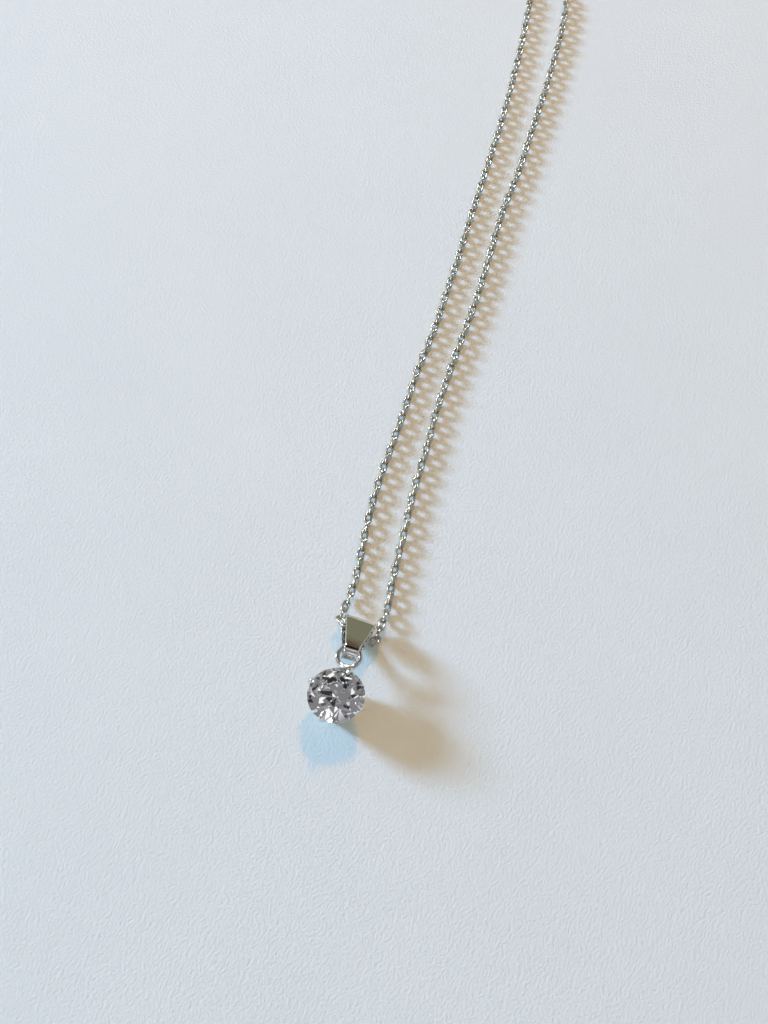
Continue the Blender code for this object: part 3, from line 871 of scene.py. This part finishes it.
def drop_outline(length, count=40):
    """Points round a drop: the top bend about the origin, the low bend at -length."""
    lean = math.asin((BAIL_TOP_BEND - BAIL_LOW_BEND) / length)
    points = []
    for middle, radius, centre, half_turn in (
        (0.0, BAIL_TOP_BEND, 0.0, math.pi / 2 + lean),
        (math.pi, BAIL_LOW_BEND, -length, math.pi / 2 - lean),
    ):
        for number in range(count + 1):
            angle = middle + half_turn * (2 * number / count - 1)
            points.append(Vector((0, centre + radius * math.cos(angle), radius * math.sin(angle))))
    return points


def bend_bail():
    along = (BAIL_CENTRE - BAIL_LOW_CENTRE).normalized()
    length = (BAIL_CENTRE - BAIL_LOW_CENTRE).length + BAIL_REACH
    outline = drop_outline(length)
    empty_hands()
    bpy.ops.mesh.primitive_circle_add(vertices=len(outline), radius=BAIL_TOP_BEND, fill_type="NOTHING")
    bail = bpy.context.object
    bail.name = "bail_strap"
    for vert, point in zip(bail.data.vertices, outline):
        vert.co = point - Vector((1, 0, 0))
    bpy.ops.object.mode_set(mode="EDIT")
    bpy.ops.mesh.select_all(action="SELECT")
    for _ in range(BAND_STRIPS):
        bpy.ops.mesh.extrude_edges_move(TRANSFORM_OT_translate={"value": (2 / BAND_STRIPS, 0, 0)})
    bpy.ops.object.mode_set(mode="OBJECT")
    for vert in bail.data.vertices:
        share = vert.co.x
        centre = Vector((0, min(0.0, max(-length, vert.co.y)), 0))
        outward = (Vector((0, vert.co.y, vert.co.z)) - centre).normalized()
        vert.co.x = share * half_width_at(vert.co.y)
        vert.co += outward * BAIL_CROWN * (1 - share * share)
        if vert.co.z > 0:
            middle = 2 * vert.co.y / length + 1
            vert.co.z += BAIL_BULGE * max(0.0, 1 - middle * middle)
    face_outwards(bail)
    modify(bail, "SOLIDIFY", thickness=BAIL_WALL, offset=-1.0, use_even_offset=True)
    modify(bail, "BEVEL", width=BAIL_EDGE, segments=3, limit_method="ANGLE", angle_limit=math.radians(50))
    roll = Matrix.Rotation(BAIL_ROLL, 3, along)
    across = roll @ Vector((1, 0, 0))
    up = across.cross(along)
    bail.matrix_world = Matrix.Translation(BAIL_CENTRE) @ Matrix((across, along, up)).transposed().to_4x4()
    settle(bail)
    take(bail)
    bpy.ops.transform.rotate(value=-BAIL_TURN, orient_axis="Z", center_override=BAIL_LOW_CENTRE)
    settle(bail)
    return bail


bail = bend_bail()
dress(bail, silver, "bail", "polished_silver", "bail")

# %% [markdown]
# ## The clasp
# A spring ring is a bent tube with a gap. A curved bolt slides inside and closes the gap, a coil spring
# pushes it, and a little knob on the bolt sticks out through a slot, so that a fingernail can draw
# it back. The tube is drawn hollow and given its wall, and the slot is cut with a bent rod.

# %% Clasp body
CLASP_RADIUS = 2.2 * MM
CLASP_TUBE = 0.55 * MM
CLASP_WALL = 0.13 * MM
CLASP_CENTRE = Vector((-2.6, 142.31, 0.56)) * MM
GATE_START, GATE_END = 18, 58  # the gap, in degrees round the clasp
BOLT_TRAVEL = 42
KNOB_ANGLE = 8
KNOB_STEM = 0.15 * MM
SLOT_SPARE = 6  # degrees the slot runs on past the knob at each end
SLOT_HALF_WIDTH = KNOB_STEM * 1.7
EYE_CENTRE = Vector((-2.6, 138.65, 0.56)) * MM


def arc_stations(radius, start, end, step=4.0):
    """Points on an arc round the clasp's centre, from and to an angle in degrees."""
    count = max(3, round(abs(end - start) / step))
    stations = []
    for number in range(count + 1):
        angle = math.radians(start + (end - start) * number / count)
        stations.append(CLASP_CENTRE + Vector((math.cos(angle), math.sin(angle), 0)) * radius)
    return stations


def arc_wire(name, ring, wire, start, end, sides=16, hollow=False):
    stations = arc_stations(ring, start, end)
    return draw_wire(name, stations, [wire] * len(stations), sides, hollow)


body = arc_wire("clasp_tube", CLASP_RADIUS, CLASP_TUBE, GATE_END, 360 + GATE_START, 24, hollow=True)
modify(body, "SOLIDIFY", thickness=CLASP_WALL, offset=-1.0)
slot_start, slot_end = KNOB_ANGLE - BOLT_TRAVEL - SLOT_SPARE, KNOB_ANGLE + SLOT_SPARE
slot = arc_wire("slot", CLASP_RADIUS + CLASP_TUBE, SLOT_HALF_WIDTH, slot_start, slot_end)
modify(body, "BOOLEAN", object=slot, operation="DIFFERENCE", solver="EXACT")
bpy.data.objects.remove(slot)
modify(body, "BEVEL", width=0.03 * MM, segments=2, limit_method="ANGLE", angle_limit=math.radians(60))
solder(body, [CLASP_CENTRE - Vector((0, CLASP_RADIUS + CLASP_TUBE, 0))], 0.7 * MM, 0.05 * MM)
dress(body, silver, "clasp", "polished_silver", "clasp_body")

# %% Bolt, knob and spring
BOLT_RADIUS = 0.34 * MM
BOLT_ARC = (-48, 64)
KNOB_RADIUS = 0.28 * MM
SPRING_ARC = (-94, -148)
SPRING_RADIUS = 0.27 * MM
SPRING_WIRE = 0.05 * MM
SPRING_TURNS = 9
SPRING_STEPS = 14  # stations in one turn


def make_bolt():
    """The bolt, with its end rounded where it enters the socket."""
    stations = arc_stations(CLASP_RADIUS, *BOLT_ARC)
    radii = [BOLT_RADIUS] * len(stations)
    radii[-1] = 0.45 * BOLT_RADIUS
    radii[-2] = 0.86 * BOLT_RADIUS
    return draw_wire("gate_bolt", stations, radii, 20)


def make_knob():
    """A ball on a stem, as one wire whose radius follows the profile."""
    outward = Matrix.Rotation(math.radians(KNOB_ANGLE), 3, "Z") @ Vector((1, 0, 0))
    ball = CLASP_RADIUS + CLASP_TUBE + KNOB_RADIUS + 0.03 * MM
    profile = [(CLASP_RADIUS + BOLT_RADIUS * 0.9, KNOB_STEM), (CLASP_RADIUS + CLASP_TUBE, KNOB_STEM)]
    for number in range(13):
        angle = math.radians(150 - 147 * number / 12)
        profile.append((ball + KNOB_RADIUS * math.cos(angle), KNOB_RADIUS * math.sin(angle)))
    stations = [CLASP_CENTRE + outward * reach for reach, _ in profile]
    return draw_wire("pull_knob", stations, [radius for _, radius in profile], 20)


def make_spring():
    stations = []
    count = SPRING_TURNS * SPRING_STEPS
    for number in range(count + 1):
        angle = math.radians(SPRING_ARC[0] + (SPRING_ARC[1] - SPRING_ARC[0]) * number / count)
        phase = math.tau * number / SPRING_STEPS
        reach = CLASP_RADIUS + SPRING_RADIUS * math.cos(phase)
        height = SPRING_RADIUS * math.sin(phase)
        stations.append(CLASP_CENTRE + Vector((reach * math.cos(angle), reach * math.sin(angle), height)))
    return draw_wire("return_spring", stations, [SPRING_WIRE] * len(stations), 8)


bolt, knob, spring = make_bolt(), make_knob(), make_spring()
dress(bolt, silver, "clasp_bolt", "polished_silver", "clasp_bolt")
dress(knob, silver, "clasp_bolt", "polished_silver", "clasp_knob")
dress(spring, spring_steel, "clasp", "spring_steel", "clasp_spring")

# %% [markdown]
# Three small rings finish the ends. The jump ring is bent wire with a fine slit where its ends meet, and
# it is turned so that the slit is out of the way. The eye and the end ring are soldered shut, which
# leaves a slight swelling.

# %% Eye, jump ring and end ring
EYE_RADIUS = 0.7 * MM
EYE_WIRE = 0.18 * MM
JUMP_RADIUS = 0.8 * MM
JUMP_WIRE = 0.17 * MM
JUMP_CENTRE = Vector((-2.6, 137.85, 0.98)) * MM
JUMP_SLIT = 3.0  # degrees
END_RING_RADIUS = 1.15 * MM
END_RING_WIRE = 0.25 * MM
END_RING_CENTRE = Vector((3.51, 138.98, 0.26)) * MM


def make_jump_ring():
    """Wire bent in the YZ plane, with its two ends just apart at the top."""
    stations = []
    count = 56
    for number in range(count + 1):
        angle = math.radians(90 + JUMP_SLIT / 2 + (360 - JUMP_SLIT) * number / count)
        stations.append(JUMP_CENTRE + Vector((0, math.cos(angle), math.sin(angle))) * JUMP_RADIUS)
    return draw_wire("jump_ring_wire", stations, [JUMP_WIRE] * len(stations), 14)


eye = add_torus("clasp_eye_ring", EYE_CENTRE, EYE_RADIUS, EYE_WIRE, turns=56, sides=14)
solder(eye, [EYE_CENTRE + Vector((0, EYE_RADIUS, 0))], 0.5 * MM, 0.05 * MM)
dress(eye, silver, "clasp", "polished_silver", "clasp_eye")
jump_ring = make_jump_ring()
dress(jump_ring, silver, "jump_ring", "polished_silver", "jump_ring")
end_ring = add_torus("end_ring_wire", END_RING_CENTRE, END_RING_RADIUS, END_RING_WIRE, turns=64, sides=16)
solder(end_ring, [END_RING_CENTRE + Vector((END_RING_RADIUS, 0, 0))], 0.5 * MM, 0.02 * MM)
dress(end_ring, silver, "end_ring", "polished_silver", "end_ring")

# %% [markdown]
# ## The chain's two strands
# Each strand leaves the bail's centre and ends in its fitting: the left one carries the jump ring and
# the clasp, the right one the end ring. Their centreline is the route that the links were laid on.

# %% [markdown]
# ## Paper and light
# The necklace lies on a sheet of pale paper with a fine tooth. Daylight comes in low from a window on
# the left, and a warm lamp stands further back on the right. Each light's shadow is filled by the
# other one, so one shadow is tan and the other is blue. The room is a soft grey all round, darker
# overhead where somebody leans in, because polished metal shows whatever is around it.

# %% Paper
PAPER_SIZE = 4.0
PAPER_LIGHT = (0.80, 0.92, 0.82, 1.0)
PAPER_SHADE = (0.74, 0.85, 0.77, 1.0)
TOOTH_SCALE = 3200.0
TOOTH_DEPTH = 0.07 * MM
TOOTH_SHARE = 0.15
MOTTLE_SCALE = 60.0
MOTTLE_SHARE = 0.35


def make_paper():
    material, net = new_finish("paper")
    place = net.add("TexCoord", output="Object")
    tooth = net.noise(place, TOOTH_SCALE, 4.0, 0.6)
    mottle = net.ramp(net.noise(place, MOTTLE_SCALE, 4.0), (0.3, 0.0), (0.8, 1.0))
    stain = mottle * MOTTLE_SHARE + net.ramp(tooth, (0.3, 0.0), (0.8, 1.0)) * TOOTH_SHARE
    net.finish(
        Base_Color=net.mix(stain, PAPER_LIGHT, PAPER_SHADE),
        Roughness=0.85,
        Normal=net.bump(tooth, TOOTH_DEPTH),
    )
    return material


empty_hands()
bpy.ops.mesh.primitive_plane_add(size=PAPER_SIZE, location=(0, 0, 0))
paper = bpy.context.object
paper.name = "paper"
paper.data.materials.append(make_paper())
print("paper is", PAPER_SIZE, "m wide")


# %% Lights
def aim_light(name, azimuth, elevation, distance, size, power, colour):
    """A square soft light that shines on the pendant from a direction, angles in degrees."""
    lamp = bpy.data.lights.new(name, "AREA")
    lamp.shape = "RECTANGLE"
    lamp.size, lamp.size_y = size
    lamp.energy = power
    lamp.color = colour
    turn, rise = math.radians(azimuth), math.radians(elevation)
    away = Vector((math.cos(turn) * math.cos(rise), math.sin(turn) * math.cos(rise), math.sin(rise)))
    holder = bpy.data.objects.new(name, lamp)
    holder.location = away * distance
    holder.rotation_euler = away.to_track_quat("Z", "Y").to_euler()
    bpy.context.scene.collection.objects.link(holder)
    return holder


def keep_from(holder, *kinds):
    """Hide a light from some kinds of ray."""
    for kind in kinds:
        setattr(holder, "visible_" + kind, False)


# Two coloured lights fall on the paper, and three smaller white ones make the glints.
GLINTS = (("window_glint", 169, 17), ("lamp_glint", 104, 44), ("pane_glint", 215, 38))
GLINT_DISTANCE = 1.0
GLINT_SIZE = (0.09, 0.09)
GLINT_POWER = 5.0
GLINT_COLOUR = (1.0, 0.97, 0.90)
window = aim_light("window", 169.5, 17, 1.6, (0.34, 0.28), 48.5, (0.396, 0.585, 1.0))
lamp = aim_light("lamp", 92, 41, 1.2, (0.17, 0.17), 5.2, (1.0, 0.368, 0.0))
keep_from(window, "glossy", "transmission")
keep_from(lamp, "glossy", "transmission")
for name, azimuth, elevation in GLINTS:
    glint = aim_light(name, azimuth, elevation, GLINT_DISTANCE, GLINT_SIZE, GLINT_POWER, GLINT_COLOUR)
    keep_from(glint, "diffuse")
print("lights:", [light.name for light in bpy.data.lights])

# %% The room
ROOM_TONE = (0.235, 0.232, 0.245, 1.0)
BRIGHT_TONE = (1.25, 1.25, 1.27, 1.0)
WALL_TONE = (0.22, 0.225, 0.15, 1.0)
SHELF_TONE = (0.12, 0.085, 0.05, 1.0)
SHADE_TONE = (0.008, 0.006, 0.004, 1.0)
WALL_SIDE = Vector((0.05, 1.0, 0.05)).normalized()
SHELF_SIDE = Vector((0.1, 0.66, 0.75)).normalized()
LEAN_SIDE = Vector((0.10, 0.42, 0.90)).normalized()
WALL_EDGE = 0.80, 0.88  # cosines between which each tone fades in
SHELF_EDGE = 0.945, 0.965
LEAN_EDGE = 0.968, 0.976
PATCH_SCALE = 6.0  # bright and dark things in the room, per unit of direction
PATCH_EDGE = 0.56, 0.60


def near_to(net, towards, direction, start, end):
    """1 near a direction and 0 away from it, between two cosines."""
    sockets = {0: towards, 1: tuple(direction)}
    near = net.add("VectorMath", {"operation": "DOT_PRODUCT"}, sockets, "Value")
    return net.ramp(near, (start, 0.0), (end, 1.0))


def make_room():
    world = bpy.data.worlds.new("room")
    bpy.context.scene.world = world
    net = Net(world)
    towards = net.add("TexCoord", output="Generated")
    patches = net.noise(towards, PATCH_SCALE, 3.0, 0.6)
    bright = net.ramp(patches, (PATCH_EDGE[0], 0.0), (PATCH_EDGE[1], 1.0))
    tone = net.mix(bright, ROOM_TONE, BRIGHT_TONE)
    tone = net.mix(near_to(net, towards, WALL_SIDE, *WALL_EDGE), tone, WALL_TONE)
    tone = net.mix(near_to(net, towards, SHELF_SIDE, *SHELF_EDGE), tone, SHELF_TONE)
    tone = net.mix(near_to(net, towards, LEAN_SIDE, *LEAN_EDGE), tone, SHADE_TONE)
    sky = net.add("Background", None, {"Color": tone, "Strength": 1.0})
    net.add("OutputWorld", None, {"Surface": sky})
    return world


make_room()
bpy.context.scene.view_settings.view_transform = "Standard"
print("room:", bpy.context.scene.world.name)
